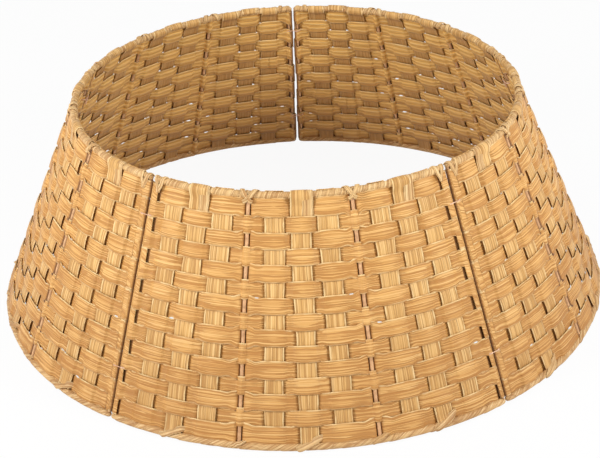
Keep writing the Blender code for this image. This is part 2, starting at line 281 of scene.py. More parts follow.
# The straw is darkened towards the foot up to this height: painted shade.
SOILED = (0.86, 0.84, 0.84, 1)
SOIL_HEIGHT = 0.19
FINE_FIBRES, BROAD_FIBRES, FIBRE_FOLDS = (5, 1900, 1), (6, 900, 1), (12, 520, 1)
TONE_PATCHES, WORN_EDGES = (30, 30, 30), (75, 40, 1)
GRAIN_ROUGHNESS = 0.55
FINE_SHARE = 0.35
PATCH_SHARE = 0.25
MID_TONE = (0.36, 0.58, 0.1, 1.0)
PALE_TONE = (0.49, 0.62, 0.0, 0.75)
CREASE_LINES = (0.61, 0.67)
CREASE_GAIN, CREASE_BLEND = 0.16, 0.8
INNER_BLEND = 0.86
HEM_WEAR, HEM_STRIP, HEM_PATCHES, HEM_BLEND = 0.12, (0.89, 0.97), (0.38, 0.60, 0.35, 1.0), 0.85
# Painted shade in the groove inside each folded edge.
GROOVE_STRIP, GROOVE_BLEND = (0.70, 0.80), 0.4
PLEATS_ACROSS, PLEAT_WANDER = 1.7, 0.8
# On the inner face: painted highlight on the pleat ridges and painted shade in their valleys.
PLEAT_RIDGE, PLEAT_RIDGE_BLEND = (0.38, 0.47), 0.8
PLEAT_VALLEY, PLEAT_VALLEY_BLEND = (0.24, 0.10), 0.5
# Painted shade where a band is tucked away under an upright or into a seam: up to 1 it goes towards the dark colour,
# from 1 to 2 towards the deepest shade colour.
TUCKED, DEEP_TUCKED = (0.0, 1.0, 0.0, 0.6), (1.0, 2.0, 0.0, 0.9)
CREASE_RELIEF, HEM_RELIEF, PLEAT_RELIEF = 0.5, 0.4, 0.7
STRAW_GLOSS = (0.3, 0.7, 0.62, 0.42)
STRAW_RELIEF = 0.0008
STRAW_RELIEF_STRENGTH = 0.7
INNER_UNDER_SHADE = 1.15
UNDER_EDGE, INNER_UNDER_EDGE = (0.6, 1.0), (-0.3, 1.0)
CROWN_POWER = 2.5
RIDGE_MEAN, RIDGE_SWELL, RIDGE_WANDER, RIDGE_WAVE = 0.8, 0.5, 0.6, 0.2
FIBRE_RANGE, FIBRE_SHIFT = 7, 0.13


def straw_grain_group():
    """Fibres along U, in metres, with tone patches, creases at the ends of each visible stretch,
    and the two folded edges, paler partly as a painted highlight, with painted shade in a groove
    inside. Painted shade darkens tucked-away places and the foot, and on the inner face the colour
    is warmed as painted bounce light, with painted highlights and shade along the pleats."""
    group, given, result = finish_group(
        "straw_grain", Fibres="Vector", Place="Vector", Edge="Float", Tuck="Float", Crease="Float", Pleat="Float",
        Pale="Color", Mid="Color", Dark="Color", Hem="Color", Deep="Color", Inner="Color")
    edge, tuck, pleat, dark = given["Edge"], given["Tuck"], given["Pleat"], given["Dark"]

    def noise(vector, stretch, detail):
        stretched = add_node(group, "Mapping", {"Vector": vector, "Scale": stretch}).outputs["Vector"]
        inputs = {"Vector": stretched, "Scale": 1.0, "Detail": detail, "Roughness": GRAIN_ROUGHNESS}
        return add_node(group, "TexNoise", inputs).outputs["Fac"]

    def ramp(value, *limits):
        return map_range(group, value, *limits)

    def blend(factor, first, second):
        return blend_colours(group, factor, first, second)

    def plus(first, second):
        return combine(group, "ADD", first, second)

    def minus(first, second):
        return combine(group, "SUBTRACT", first, second)

    def times(first, second):
        return combine(group, "MULTIPLY", first, second)

    fine = noise(given["Fibres"], FINE_FIBRES, 1)
    broad = noise(given["Fibres"], BROAD_FIBRES, 1)
    folds = noise(given["Fibres"], FIBRE_FOLDS, 0)
    patch = noise(given["Place"], TONE_PATCHES, 2)
    worn = noise(given["Fibres"], WORN_EDGES, 1)
    streaks = plus(times(fine, FINE_SHARE), times(broad, 1 - FINE_SHARE))
    lit = ramp(plus(times(streaks, 1 - PATCH_SHARE), times(patch, PATCH_SHARE)), *MID_TONE)
    base = blend(lit, dark, given["Mid"])
    base = blend(ramp(streaks, *PALE_TONE), base, given["Pale"])
    crease = ramp(plus(folds, times(given["Crease"], CREASE_GAIN)), *CREASE_LINES)
    base = blend(times(crease, CREASE_BLEND), base, dark)
    # The inner faces take a warmer, brighter colour: painted bounce light.
    base = blend(times(pleat, INNER_BLEND), base, given["Inner"])
    # The folded edges: a paler strip, partly their own colour and partly a painted highlight.
    strip = ramp(plus(edge, times(worn, HEM_WEAR)), *HEM_STRIP)
    strip = times(strip, ramp(worn, *HEM_PATCHES))
    groove = times(ramp(edge, *GROOVE_STRIP), minus(1.0, strip))
    base = blend(times(groove, GROOVE_BLEND), base, dark)
    base = blend(times(strip, HEM_BLEND), base, given["Hem"])
    # Pleat lines on the inner face: painted highlight on the ridges and painted shade in the valleys, besides their
    # relief.
    turns = combine(group, "FRACT", plus(times(edge, PLEATS_ACROSS), times(patch, PLEAT_WANDER)))
    pleat_line = combine(group, "ABSOLUTE", minus(turns, 0.5))
    ridge = times(ramp(pleat_line, *PLEAT_RIDGE), pleat)
    valley = times(ramp(pleat_line, *PLEAT_VALLEY), pleat)
    base = blend(times(valley, PLEAT_VALLEY_BLEND), base, dark)
    base = blend(times(ridge, PLEAT_RIDGE_BLEND), base, given["Hem"])
    # Painted shade where the band is tucked away.
    base = blend(ramp(tuck, *TUCKED), base, dark)
    base = blend(ramp(tuck, *DEEP_TUCKED), base, given["Deep"])
    # Painted shade that darkens the straw towards the foot.
    height = add_node(group, "SeparateXYZ", {"Vector": given["Place"]}).outputs["Z"]
    base = blend_colours(group, ramp(height, 0.0, SOIL_HEIGHT, 1.0, 0.0), base, SOILED, "MULTIPLY")
    relief = plus(minus(streaks, times(crease, CREASE_RELIEF)), times(minus(strip, groove), HEM_RELIEF))
    relief = plus(relief, times(minus(ridge, valley), PLEAT_RELIEF))
    group.links.new(base, result["Colour"])
    group.links.new(relief, result["Height"])
    group.links.new(ramp(streaks, *STRAW_GLOSS), result["Roughness"])
    return group


STRAW_GRAIN = straw_grain_group()


def straw_material(name, pale=PALE_STRAW, mid=MID_STRAW, dark=DARK_STRAW):
    material, tree, shader = new_material(name, 0.5, specular=0.35)
    inputs = {"Fibres": add_node(tree, "UVMap", uv_map="UVMap").outputs["UV"],
              "Place": add_node(tree, "TexCoord").outputs["Object"],
              "Pale": pale, "Mid": mid, "Dark": dark, "Hem": HEM_STRAW, "Deep": DEEP_STRAW, "Inner": INNER_STRAW}
    for socket in ("Edge", "Tuck", "Crease", "Pleat"):
        inputs[socket] = add_node(tree, "Attribute", attribute_name=socket.lower()).outputs["Fac"]
    use_finish(tree, shader, STRAW_GRAIN, inputs, STRAW_RELIEF, STRAW_RELIEF_STRENGTH)
    return material


def smooth(x, low=0.0, high=1.0):
    t = np.clip((np.asarray(x, float) - low) / (high - low), 0, 1)
    return t * t * (3 - 2 * t)


def fade(x, low=0.0, high=1.0):
    """One number that falls smoothly from 1 to 0."""
    return 1 - float(smooth(x, low, high))


def waves(rng, position, length, terms=3):
    """Slow random wave along a position, about -1 to 1, for the unevenness of handwork."""
    total = np.zeros_like(position)
    for term in range(1, terms + 1):
        turns = position * term / length * rng.uniform(0.7, 1.3) + rng.random()
        total += np.sin(2 * math.pi * turns) / term
    return total / 1.6


def places_of(mesh):
    places = np.zeros(len(mesh.vertices) * 3, np.float32)
    mesh.vertices.foreach_get("co", places)
    return places.reshape(-1, 3)


def set_places(mesh, places):
    mesh.vertices.foreach_set("co", places.astype(np.float32).ravel())
    mesh.update()


def flat_grid(name, steps_along, steps_across):
    """Grid for a band or a wrap, and where its vertices lie from -1 to 1, along and across."""
    bpy.ops.object.select_all(action="DESELECT")
    bpy.ops.mesh.primitive_grid_add(x_subdivisions=steps_along, y_subdivisions=steps_across, size=2, calc_uvs=True)
    obj = bpy.context.object
    obj.name = obj.data.name = name
    flat = places_of(obj.data)
    return obj, flat[:, 0], flat[:, 1]


def lay_fibres(mesh, along, across, **attributes):
    """Give a mesh its UV map, in metres along and across the fibres, and its attributes."""
    loops = np.zeros(len(mesh.loops), np.int32)
    mesh.loops.foreach_get("vertex_index", loops)
    uvs = np.stack([along, across], -1)[loops].astype(np.float32)
    mesh.uv_layers["UVMap"].data.foreach_set("uv", uvs.ravel())
    for name, values in attributes.items():
        mesh.attributes.new(name, "FLOAT", "POINT").data.foreach_set("value", values.astype(np.float32))


def even_stations(centre, up, face, half, crown, tuck_back, crease, edge):
    """Stations of a band with no painted shade on its outside."""
    plain = np.ones(len(half))
    return {"centre": centre, "up": up, "face": face, "low": -half, "high": half, "half": half,
            "crown": plain * crown, "tuck_face": plain * 0, "tuck_back": plain * tuck_back, "under": plain * 0,
            "squeeze": plain, "crease": plain * crease, "edge": edge, "outer_face": plain > 0, "pleat": 0.0}


def band(stations, columns, thickness, pleats, rng, name="band"):
    """Flat straw band. A grid is laid along its stations: each has a centre, the directions of its
    width and its face, the places of its two edges, its crown, the painted shade where it is tucked
    away on the face and on the back, the painted shade of its lower edge, how its fibres are squeezed
    together and how creased it is."""
    centre, up, face = stations["centre"], stations["up"], stations["face"]
    count = len(centre) - 1
    obj, u, v = flat_grid(name, count, columns)
    station = np.rint((u + 1) / 2 * count).astype(int)
    run = np.concatenate([[0], np.cumsum(np.linalg.norm(np.diff(centre, axis=0), axis=1))])
    low, high = stations["low"][station], stations["high"][station]
    place = low + (high - low) * (v + 1) / 2
    fibre = place / stations["half"][station]
    within = np.clip(fibre, -1, 1)
    relief = stations["crown"][station] * (1 - np.abs(within) ** CROWN_POWER)
    ridges = np.stack([(-1) ** column * (RIDGE_MEAN + RIDGE_SWELL * waves(rng, run, RIDGE_WAVE))
                       + RIDGE_WANDER * waves(rng, run, RIDGE_WAVE) for column in range(columns + 1)])
    left = np.clip(((within + 1) / 2 * columns).astype(int), 0, columns - 1)
    part = (within + 1) / 2 * columns - left
    relief += pleats * (ridges[left, station] * (1 - part) + ridges[left + 1, station] * part)
    set_places(obj.data, centre[station] + up[station] * place[:, None] + face[station] * relief[:, None])
    offset = rng.random() * FIBRE_RANGE
    across = fibre * stations["half"].mean() / stations["squeeze"][station]
    lay_fibres(obj.data, run[station] + offset, across + offset * FIBRE_SHIFT, edge=np.abs(v) * stations["edge"],
               tuck=stations["tuck_face"][station], crease=stations["crease"][station])
    thicken = obj.modifiers.new("thickness", "SOLIDIFY")
    thicken.thickness = thickness
    thicken.offset = 0
    only(obj)
    bpy.ops.object.modifier_apply(modifier=thicken.name)
    shells = places_of(obj.data).reshape(2, -1, 3)
    tuck, pleat = np.zeros((2, *shells.shape[:2]), np.float32)
    for shell in range(2):
        faceward = ((shells[shell] - shells[1 - shell]) * face[station]).sum(-1) > 0
        outside = faceward == stations["outer_face"][station]
        # Painted shade along the lower edge: narrow on the outside, wider on the inner face.
        under = np.where(outside, smooth(-v, *UNDER_EDGE), INNER_UNDER_SHADE * smooth(-v, *INNER_UNDER_EDGE))
        tuck[shell] = (np.where(faceward, stations["tuck_face"][station], stations["tuck_back"][station])
                       + stations["under"][station] * under)
        pleat[shell] = np.where(outside, 0, stations["pleat"])
    obj.data.attributes["tuck"].data.foreach_set("value", tuck.ravel())
    obj.data.attributes.new("pleat", "FLOAT", "POINT").data.foreach_set("value", pleat.ravel())
    bpy.ops.object.shade_smooth()
    return obj


# The stakes. Three flat bands stand in each bay between two uprights of wire. They bend a
# little in and out with the strand, and their heads fold over the top rim.
ROW_COUNT = 15
ROW_MARGIN = 0.0005
ROW_PITCH = (WALL_LENGTH - 2 * (ROLL_RADIUS + ROW_MARGIN)) / ROW_COUNT
STAKE_WIDTH_FOOT = 0.0190
STAKE_WIDTH_HEAD = 0.0205
STAKE_THICKNESS = 0.0007
STAKE_SWAY = 0.0005
STAKE_LEAN, STAKE_LEAN_WAVE = 0.0007, 0.3
STAKE_SWELL, STAKE_SWELL_WAVE = 0.05, 0.08
STAKE_COLUMNS = 12
STAKE_PLEATS = 0.00010
STAKE_STEPS_PER_ROW = 7
STAKE_FOOT_OUT = 0.0016
STAKE_INNER_SHADE = 1.15
RIM_FLARE = (0.002, 0.011)
RIM_SHADE_START = (0.002, 0.006)
RIM_WRAP_RADIUS = 0.0043
RIM_WRAP_STEPS = 8
RIM_WRAP_OUTSIDE, RIM_WRAP_INSIDE = math.radians(165), math.radians(95)
RIM_WRAP_NARROWING = 0.12


def row_height(row):
    """Height up the wall of a row's middle, rows counted from 1 at the top."""
    return WALL_LENGTH - ROLL_RADIUS - ROW_MARGIN - (row - 0.5) * ROW_PITCH


def side_of_wall(row, member):
    return 1 if (row + member) % 2 == 0 else -1


def stake_stations(member, rng):
    """From its end behind the top rim, over the rim and down the wall to the bottom rim."""
    top_side = -side_of_wall(1, member)
    bottom_side = -side_of_wall(ROW_COUNT, member)
    heights = np.linspace(WALL_LENGTH, 0, ROW_COUNT * STAKE_STEPS_PER_ROW)
    rows = (WALL_LENGTH - ROLL_RADIUS - ROW_MARGIN - heights) / ROW_PITCH + 0.5
    near_top = 1 - smooth(WALL_LENGTH - heights, *RIM_FLARE)
    near_bottom = 1 - smooth(heights, *RIM_FLARE)
    sway = -np.cos(math.pi * (rows + member)) * STAKE_SWAY * (1 - near_top) * (1 - near_bottom)
    sway += top_side * RIM_WRAP_RADIUS * near_top + bottom_side * STAKE_FOOT_OUT * near_bottom
    lean = waves(rng, heights, STAKE_LEAN_WAVE) * STAKE_LEAN
    point, across, along, out = wall_frame(np.full_like(heights, member), heights)
    centre = point + out * sway[:, None] + across * lean[:, None]
    half = (STAKE_WIDTH_FOOT + (STAKE_WIDTH_HEAD - STAKE_WIDTH_FOOT) * heights / WALL_LENGTH) / 2
    half = half * (1 + STAKE_SWELL * waves(rng, heights, STAKE_SWELL_WAVE))
    turns = np.linspace(1, 0, RIM_WRAP_STEPS + 1)[:-1]
    swing = turns[:, None] * (RIM_WRAP_OUTSIDE if top_side > 0 else RIM_WRAP_INSIDE)
    over = out[0] * top_side * np.cos(swing) + along[0] * np.sin(swing)
    turned = out[0] * np.cos(swing) + along[0] * top_side * np.sin(swing)
    # Below the rim the stakes' inner faces get painted shade.
    below_rim = smooth(WALL_LENGTH - heights, *RIM_SHADE_START)
    return even_stations(
        np.concatenate([point[0] + across[0] * lean[0] + over * RIM_WRAP_RADIUS, centre]),
        np.concatenate([np.repeat(across[:1], len(turns), 0), across]), np.concatenate([turned, out]),
        np.concatenate([half[0] * (1 - RIM_WRAP_NARROWING * turns), half]), crown=0.0003, crease=0.35, edge=1.0,
        tuck_back=np.concatenate([turns * 0, below_rim]) * STAKE_INNER_SHADE)


stake_material = straw_material("straw_stake", pale=(0.875, 0.595, 0.268, 1), mid=(0.745, 0.43, 0.139, 1),
                                dark=(0.48, 0.24, 0.067, 1))
for panel, turn in PANEL_TURNS.items():
    for bay, bay_name in enumerate(("left", "middle", "right")):
        stakes = []
        for member in range(bay * 4 + 1, bay * 4 + 4):
            rng = random.Random(f"{panel} stake {member}")
            stakes.append(band(stake_stations(member, rng), STAKE_COLUMNS, STAKE_THICKNESS, STAKE_PLEATS, rng))
        piece = set_in_ring(join(stakes, f"{panel}_stakes_{bay_name}"), turn, stake_material)
        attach(piece, panel + "_panel")
        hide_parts(f"{panel}_panel_stakes_{bay_name}")

# The woven strand. One flat band snakes down each panel, before one upright and behind the
# next, and turns back round the side wires. It is spliced behind a stake in rows 6 and 11.
STRAND_THICKNESS = 0.0007
STRAND_COLUMNS = 12
STRAND_PLEATS = 0.00015
STRAND_EDGE = 0.98
STATION_SPACING = 0.0030
CREASE_STATIONS = (0.0003, 0.0012, 0.0022)
CREASE_CLEARANCE = 0.0004
STATION_CLEARANCE = 0.02
WITHIN_UPRIGHT, FLAT_OVER_WIRE, CROSSING_EDGE = 0.6, 0.5, 0.8
TURN_STEPS = 8
SPLICE_ROWS = (6, 11)
OUTWARD_AT_WIRE = 0.0025
DIVE_LENGTH = 0.0036
CROWN_AT_WIRE = 0.0007
CROWN_AT_STAKE = 0.0008
TURN_RADIUS = (0.0027, 0.0036)
CLOSING_BULGE = (0.0002, 0.0013)
CLOSING_PINCH = 0.0011
PINCHED_ROWS = (4, 7, 12, 13, 14)
OVERLAP_AT_WIRE = 0.0020
OVERLAP_AT_ODD_STAKE = 0.0010
OVERLAP_AT_EVEN_STAKE = 0.0005
OVERLAP_FADE = (0.28, 0.5)
INSIDE_OVERLAP = 0.0014
OVERLAP_SWELL = (0.6, 1.4)
LINE_WANDER = 0.0005
RIM_LINE_WANDER = 0.3
RIM_REACH = 0.0017
ROW_CLEARANCE = 0.00005
PARTING = (0.25, 0.5)
SLIT_WIDTH = (0.0010, 0.0021)
SLIT_CHANCE_PER_LINE = 0.075
SLIT_CHANCE = (0.03, 0.65)
CLOSED_LINES = 4
FLAP_MARGIN = 0.0003
FLAP_AT_TOP = 0.0066
FLAP_AT_FOOT = 0.0036
FLAP_LEFT = (0.85, 1.2)
FLAP_RIGHT = (0.7, 1.0)
FLAP_STEPS = (-0.012, 0.012)
FLAP_EDGE = 0.0003
BUNCHED = 0.86
LIFT = (0.9, 1.15)
SLOT_BESIDE_STAKE = 0.0008
SLOT_BESIDE_FLAP = (0.0018, 0.0028)
SLOT_SHADE_AT_WIRE = 1.7
SLOT_SHADE_AT_STAKE = 1.1
SLOT_DEPTHS = (0.35, 1.1)
SLOT_FADE = (0.6, 2)
SEAM_SHADE, SEAM_SHADE_RISE = 1.7, (0.35, 0.8)
UNDER_SHADE, UNDER_SHADE_AT_TOP = 1.3, 0.3
# In the turns the strand's inner side gets some painted shade.
TURN_STATION = {"aside": 0.0, "crown": 0.0, "tuck_out": 0.0, "tuck_in": 0.5, "squeeze": 1.0, "crease": 0.3}
FRONT_WEAVE = {"openness": 0.1, "stake_outward": 0.0015, "beside_rib": 0.0012, "rib_slot": 0.0015, "closing": None}
SIDE_WEAVE = {"openness": 0.3, "stake_outward": 0.0022, "beside_rib": 0.0020, "rib_slot": 0.0034, "closing": None}
REAR_WEAVE = {**FRONT_WEAVE, "openness": 1.0, "stake_outward": 0.0018}
PANEL_WEAVE = {"front": FRONT_WEAVE, "left": SIDE_WEAVE, "right": SIDE_WEAVE,
               "rear_left": {**REAR_WEAVE, "closing": 0}, "rear_right": {**REAR_WEAVE, "closing": MEMBER_LAST}}


def is_wire(member):
    return member % 4 == 0


def line_height(line):
    """Height up the wall of the line between two rows, the lines counted from 0 at the top rim."""
    return row_height(line + 0.5)


def half_width(member):
    return upright_radius(member) if is_wire(member) else (STAKE_WIDTH_FOOT + STAKE_WIDTH_HEAD) / 4


def places_across(pitch):
    """Places of the stations across a panel, close together where the strand creases beside an upright."""
    places = [0.0]
    for left in range(MEMBER_LAST):
        widths = [half_width(member) for member in (left, left + 1)]
        cross = (pitch + widths[0] - widths[1]) / 2
        near = [widths[0] * WITHIN_UPRIGHT, *(widths[0] + step for step in CREASE_STATIONS)]
        far = [pitch - widths[1] * WITHIN_UPRIGHT, *(pitch - widths[1] - step for step in CREASE_STATIONS)]
        close = sorted({0, *(d for d in near if d < cross - CREASE_CLEARANCE), cross,
                        *(d for d in far if d > cross + CREASE_CLEARANCE), pitch})
        for start, end in zip(close, close[1:]):
            count = math.ceil((end - start) / STATION_SPACING)
            places += [left + (start + (end - start) * step / count) / pitch for step in range(1, count + 1)]
    return places


def strand_path(rng, openness, stake_outward, beside_rib, rib_slot, closing):
    """Stations of the whole strand, row by row, with the row, and None in the turns. Neighbouring
    rows share the line between them, and part a little at some of their crossings."""
    path = []
    wander = [[rng.uniform(-1, 1) * LINE_WANDER for _ in range(MEMBER_LAST + 1)] for _ in range(ROW_COUNT + 1)]
    for line, nudge in ((0, RIM_REACH), (ROW_COUNT, -RIM_REACH)):
        wander[line] = [value * RIM_LINE_WANDER + nudge for value in wander[line]]
    gaps = []
    for line in range(ROW_COUNT + 1):
        chance = openness * min(SLIT_CHANCE[1], max(SLIT_CHANCE[0], (line - CLOSED_LINES) * SLIT_CHANCE_PER_LINE))
        gaps.append([rng.uniform(*SLIT_WIDTH) if rng.random() < chance else ROW_CLEARANCE
                     for _ in range(MEMBER_LAST)])
    gaps[0] = gaps[ROW_COUNT] = [0.0] * MEMBER_LAST

    flaps = []
    for row in range(ROW_COUNT + 2):
        flap = (FLAP_AT_TOP + (FLAP_AT_FOOT - FLAP_AT_TOP) * row / ROW_COUNT) / member_pitch(row_height(row))
        flaps.append((flap * rng.uniform(*FLAP_LEFT), flap * rng.uniform(*FLAP_RIGHT)))

    def add(member, middle, low, high, **values):
        path.append({**TURN_STATION, "member": member, "height": middle, "low": low - middle,
                     "high": high - middle, **values})

    def line_at(line, left, part):
        ease = float(smooth(part))
        return line_height(line) + wander[line][left] * (1 - ease) + wander[line][left + 1] * ease

    def add_fold(member, row, first_side, top_from, top_to, foot_from, foot_to):
        """Turn round a side wire, with the heights of the band's two edges where it starts and ends."""
        radius = rng.uniform(*TURN_RADIUS)
        if member == closing:
            radius += rng.uniform(*CLOSING_BULGE) + (CLOSING_PINCH if row in PINCHED_ROWS else 0)
        for step in range(1, TURN_STEPS):
            part = step / TURN_STEPS
            swing = math.pi * part
            high = top_from + (top_to - top_from) * float(smooth(part, 0.5, 1.0))
            low = foot_from + (foot_to - foot_from) * float(smooth(part, 0.0, 0.5))
            bulge = OUTWARD_AT_WIRE + (radius - OUTWARD_AT_WIRE) * math.sin(swing)
            # The outermost part of the turn gets painted shade, which darkens the seam.
            add(member, (high + low) / 2, low, high, half=ROW_PITCH / 2, row=None,
                outward=first_side * OUTWARD_AT_WIRE * math.cos(swing),
                aside=(1 if member else -1) * bulge * math.sin(swing),
                tuck_out=SEAM_SHADE * float(smooth(math.sin(swing), *SEAM_SHADE_RISE)))

    def add_end(member, row, reach, tip_first):
        """The strand's own end, laid flat over the side wire from outside."""
        shares = [reach * k / 3 for k in range(4)]
        for share in reversed(shares) if tip_first else shares:
            place = member - share if member else share
            left = min(int(place), MEMBER_LAST - 1)
            high = line_at(row - 1, left, place - left)
            low = line_at(row, left, place - left)
            add(place, (high + low) / 2, low, high, half=(high - low) / 2, row=0, outward=OUTWARD_AT_WIRE)

    head, first_line = line_at(0, MEMBER_LAST - 1, 1), line_at(1, MEMBER_LAST - 1, 1)
    add_end(MEMBER_LAST, 1, FLAP_AT_TOP / member_pitch(row_height(1)), True)
    add_fold(MEMBER_LAST, 0, 1, head, head, first_line, first_line)
    for row in range(1, ROW_COUNT + 1):
        rightward = row % 2 == 0
        pitch = member_pitch(row_height(row))
        swell = [rng.uniform(*OVERLAP_SWELL) for _ in range(MEMBER_LAST + 1)]
        lift = [rng.uniform(*LIFT) for _ in range(MEMBER_LAST + 1)]
        slot_depths = [rng.uniform(*SLOT_DEPTHS) for _ in range(2 * MEMBER_LAST + 2)]
        lift[0] = lift[MEMBER_LAST] = 1.0
        flap_left, flap_right = flaps[row] if rightward else (flaps[row + 1][0], flaps[row - 1][1])
        steps = FLAP_STEPS if rightward else [step / pitch for step in (FLAP_EDGE, *SLOT_BESIDE_FLAP)]
        ends = [flap_left + step for step in steps] + [MEMBER_LAST - flap_right - step for step in steps]
        places = [p for p in places_across(pitch) if all(abs(p - end) > STATION_CLEARANCE for end in ends)]
        places = sorted(places + ends)
        if not rightward:
            places.reverse()
        for member in places:
            left = min(int(member), MEMBER_LAST - 1)
            part = member - left
            uprights = ((left, part * pitch), (left + 1, (1 - part) * pitch))
            widths = [half_width(m) / pitch for m in (left, left + 1)]
            start, stop = widths[0] * CROSSING_EDGE, 1 - widths[1] * CROSSING_EDGE
            cross = (start + stop) / 2
            near = left if part < cross else left + 1
            away = part / cross / 2 if part < cross else (1 - part) / (1 - cross) / 2
            behind_rib = any(m in RIB_MEMBERS and side_of_wall(row, m) < 0 for m in (left, left + 1))
            outward = between = beside_rib if behind_rib else 0.0
            for m, distance in uprights:
                level = side_of_wall(row, m) * (OUTWARD_AT_WIRE if is_wire(m) else stake_outward) * lift[m]
                edge = half_width(m) * (FLAT_OVER_WIRE if is_wire(m) else 1.0)
                if rightward and m in (0, MEMBER_LAST):
                    edge = (flap_right if m else flap_left) * pitch
                outward += (level - between) * fade(distance, edge, edge + DIVE_LENGTH)
            side = side_of_wall(row, near)
            if is_wire(near):
                overlap = OVERLAP_AT_WIRE * (1 - 2 * away)
            else:
                overlap = (OVERLAP_AT_ODD_STAKE if near % 2 else OVERLAP_AT_EVEN_STAKE) * fade(away, *OVERLAP_FADE)
            overlap = (overlap + (INSIDE_OVERLAP if side < 0 else 0) * fade(away, *OVERLAP_FADE)) * swell[near]
            parting = float(smooth(away, *PARTING)) / 2
            high = line_at(row - 1, left, part) + overlap - gaps[row - 1][left] * parting
            low = line_at(row, left, part) - overlap + gaps[row][left] * parting
            middle = (high + low) / 2
            half = (high - low) / 2
            if rightward and member < flap_left:
                high = line_at(row - 2, left, part) - FLAP_MARGIN
            if rightward and member > MEMBER_LAST - flap_right:
                low = line_at(row + 1, left, part) + FLAP_MARGIN
            crown = CROWN_AT_WIRE if is_wire(near) else CROWN_AT_STAKE
            at_end = near in (0, MEMBER_LAST)
            # Painted shade in the slots beside each upright where the strand dives behind it, and beside the flaps at
            # the side wires.
            tucks = {1: 0.0, -1: 0.0}
            for m, distance in uprights:
                if is_wire(m):
                    slot, shade = rib_slot, SLOT_SHADE_AT_WIRE
                else:
                    slot, shade = SLOT_BESIDE_STAKE, SLOT_SHADE_AT_STAKE * slot_depths[2 * m + (m > left)]
                hidden = -side_of_wall(row, m)
                fading = [slot * share for share in SLOT_FADE]
                tucks[hidden] = max(tucks[hidden], shade * fade(distance - half_width(m), *fading))
                if not rightward and m in (0, MEMBER_LAST):
                    beside = distance - (flap_right if m else flap_left) * pitch
                    tucks[1] = max(tucks[1], SEAM_SHADE * fade(beside, *SLOT_BESIDE_FLAP))
            add(member, middle, low, high, half=half, row=row, outward=outward, tuck_out=tucks[1],
                tuck_in=tucks[-1], crease=away * 2, squeeze=1 - (1 - BUNCHED) * away * 2,
                crown=side * crown * (away * 2 * (1 - away * 2) if at_end else 1 - away * 2))
        member, left, part = (MEMBER_LAST, MEMBER_LAST - 1, 1) if rightward else (0, 0, 0)
        above, below = line_at(row - 1, left, part), line_at(row, left, part)
        if row == ROW_COUNT:
            add_fold(member, row, -1, above, above, below, below)
            continue
        next_below = line_at(row + 1, left, part)
        if side_of_wall(row, member) > 0:
            add_fold(member, row, 1, above, below, next_below + FLAP_MARGIN, next_below)
        else:
            add_fold(member, row, -1, above, above - FLAP_MARGIN, below, next_below)
    add_end(0, ROW_COUNT, FLAP_AT_FOOT / member_pitch(row_height(ROW_COUNT)), False)
    return path


def strand_stations(path):
    """Stations of a length of the strand, with the face kept on one side of it through every turn."""
    stations = {key: np.array([station[key] for station in path]) for key in path[0] if key != "row"}
    rows = [station["row"] for station in path]
    turning = np.array([row is None for row in rows])
    point, across, along, out = wall_frame(stations.pop("member"), stations.pop("height"))
    aside = out * stations.pop("outward")[:, None] + across * stations.pop("aside")[:, None]
    face = out.copy()
    face[turning] = aside[turning] / np.linalg.norm(aside[turning], axis=1, keepdims=True)
    signs = np.ones(len(face))
    for i in range(1, len(face)):
        if turning[i] and not turning[i - 1]:
            signs[i:] = signs[i - 1] * (1 if np.dot(face[i], face[i - 1] * signs[i - 1]) * signs[i - 1] > 0 else -1)
        elif turning[i - 1] and not turning[i]:
            signs[i:] = 1 if np.dot(face[i], face[i - 1] * signs[i - 1]) > 0 else -1
    face *= signs[:, None]
    outer_face = np.where(turning, (face * aside).sum(-1), signs) > 0
    # Painted shade on the strand's face and on its back.
    tuck_out, tuck_in = stations.pop("tuck_out"), stations.pop("tuck_in")
    stations["crown"] = stations["crown"] * signs
    # Painted shade under the strand's lower edge, stronger towards the foot.
    under = np.array([UNDER_SHADE * (UNDER_SHADE_AT_TOP + (1 - UNDER_SHADE_AT_TOP) * row / ROW_COUNT) if row else 0.0
                      for row in rows])
    return {**stations, "centre": point + aside, "up": along, "face": face, "outer_face": outer_face, "under": under,
            "tuck_face": np.where(outer_face, tuck_out, tuck_in), "tuck_back": np.where(outer_face, tuck_in, tuck_out),
            "edge": STRAND_EDGE, "pleat": 1.0}


strand_material = straw_material("straw_strand")
for panel, turn in PANEL_TURNS.items():
    rng = random.Random(panel + " strand")
    path = strand_path(rng, **PANEL_WEAVE[panel])
    bounds = [0]
    for row in SPLICE_ROWS:
        members = [m for m in range(1, MEMBER_LAST) if side_of_wall(row, m) < 0]
        splice = members[0] if row % 2 == 0 else members[-1]
        bounds.append(next(i for i, s in enumerate(path) if s["row"] == row and s["member"] == splice))
    bounds.append(len(path) - 1)
    for name, start, end in zip(("upper", "middle", "lower"), bounds, bounds[1:]):
        stations = strand_stations(path[start:end + 1])
        piece = band(stations, STRAND_COLUMNS, STRAND_THICKNESS, STRAND_PLEATS, rng, f"{panel}_strand_{name}")
        set_in_ring(piece, turn, strand_material)
        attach(piece, panel + "_panel")
        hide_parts(f"{panel}_panel_strand_{name}")

